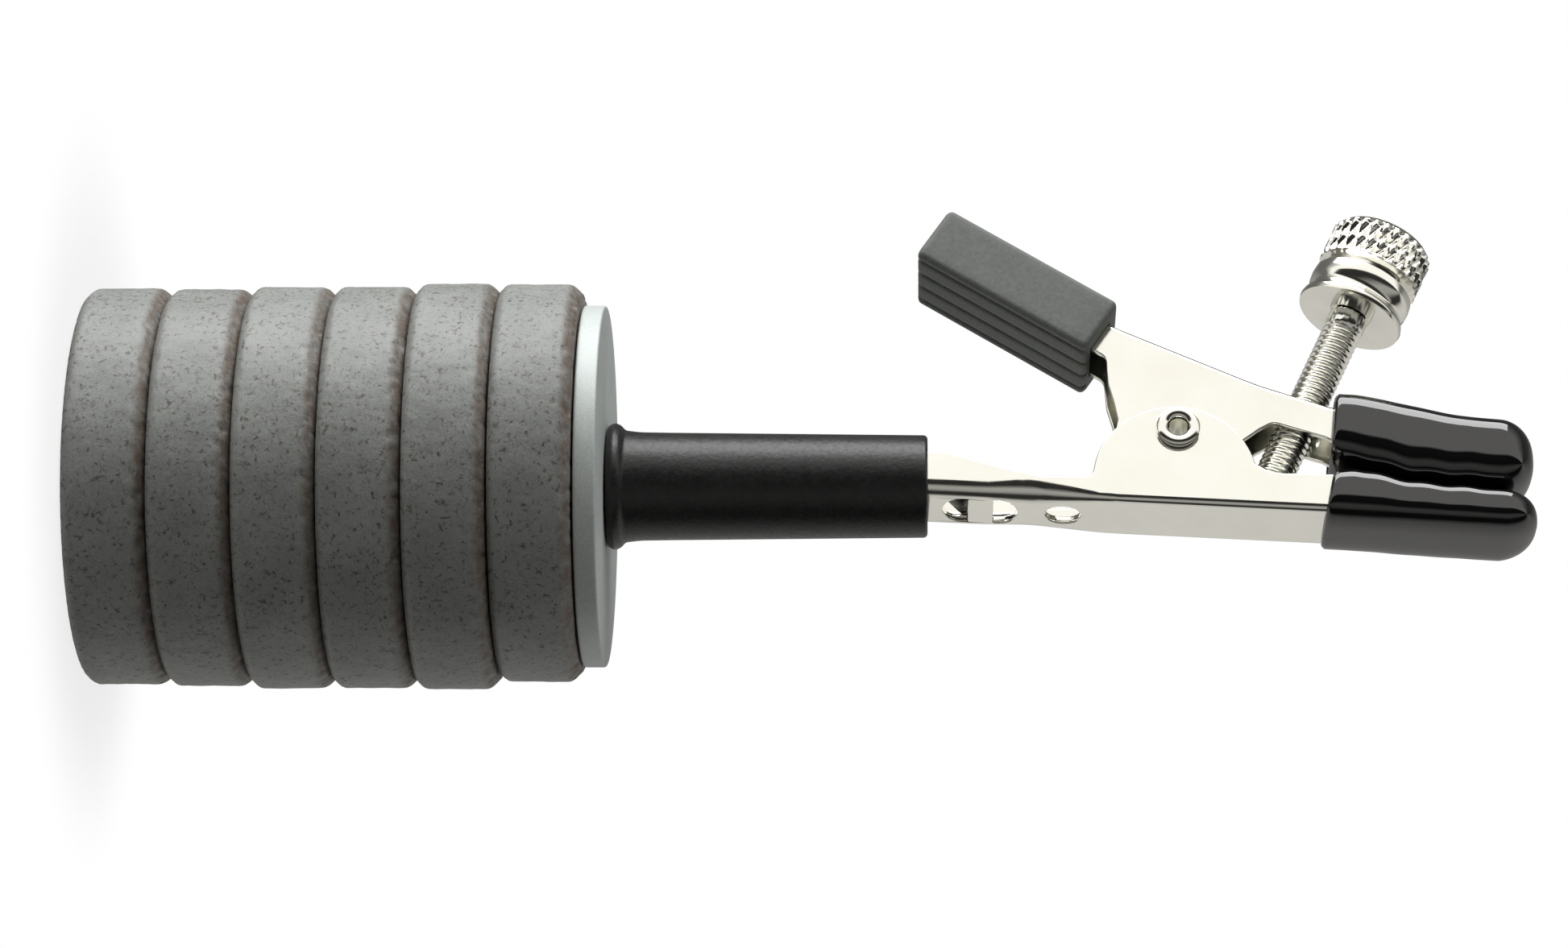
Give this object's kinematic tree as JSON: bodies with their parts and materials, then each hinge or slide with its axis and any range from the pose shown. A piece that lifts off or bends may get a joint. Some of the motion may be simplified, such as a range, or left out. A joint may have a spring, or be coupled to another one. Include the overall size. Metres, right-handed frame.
{
  "type": "weighted spring clamp",
  "caption": "Small plated spring clamp with dipped jaws, a thumbscrew jaw stop and a capped handle, weighted by a stack of disc magnets on its tail.",
  "frame": {"origin": "centre of the outermost magnet's outer flat face, which the clamp can stand on", "axes": "+Z along the magnet stack and the sleeve, to the jaws; -X towards the thumbscrew; Y along the pivot"},
  "size_m": [0.0377, 0.0306, 0.1081],
  "materials": {
    "ferrite": "sintered, matte",
    "plate_zinc": "matte zinc plating",
    "sleeve_black": "fine orange-peel texture",
    "nickel": "bright nickel plating",
    "cap_rubber": "matte, moulded",
    "vinyl_black": "glossy dipped vinyl",
    "screw_steel": "plain steel"
  },
  "bodies": {
    "clamp_frame": {"magnet_1": "ferrite", "magnet_2": "ferrite", "magnet_3": "ferrite", "magnet_4": "ferrite", "magnet_5": "ferrite", "magnet_6": "ferrite", "steel_plate": "plate_zinc", "plate_screw": "screw_steel", "core_bush": "screw_steel", "grip_sleeve": "sleeve_black", "fixed_lever": "nickel", "pivot_rivet": "nickel", "lower_jaw_coat": "vinyl_black"},
    "lever": {"moving_lever": "nickel", "torsion_spring": "screw_steel", "lever_cap": "cap_rubber", "upper_jaw_coat": "vinyl_black"},
    "thumbscrew_rod": {"screw_rod": "nickel"},
    "thumbscrew_head": {"screw_head": "nickel"}
  },
  "joints": [
    {"name": "lever_pivot", "type": "hinge", "parent": "clamp_frame", "child": "lever", "pos_m": [-0.0033, 0, 0.0815], "axis": [0, -1, 0], "range_deg": [0, 30], "stiffness_Nm_per_rad": 0.08, "springref_deg": -57.3, "deforming": ["torsion_spring"]},
    {"name": "screw_travel", "type": "slide", "parent": "lever", "child": "thumbscrew_rod", "axis": [-0.9114, 0, 0.4115], "range_m": [0, 0.008]},
    {"name": "screw_turn", "type": "hinge", "parent": "thumbscrew_rod", "child": "thumbscrew_head", "pos_m": [-0.01445, 0, 0.0949], "axis": [-0.9114, 0, 0.4115], "range_deg": [0, 5760]}
  ],
  "couplings": [
    {"joint": "screw_turn", "follows": "screw_travel", "rad_per_m": 12566}
  ]
}
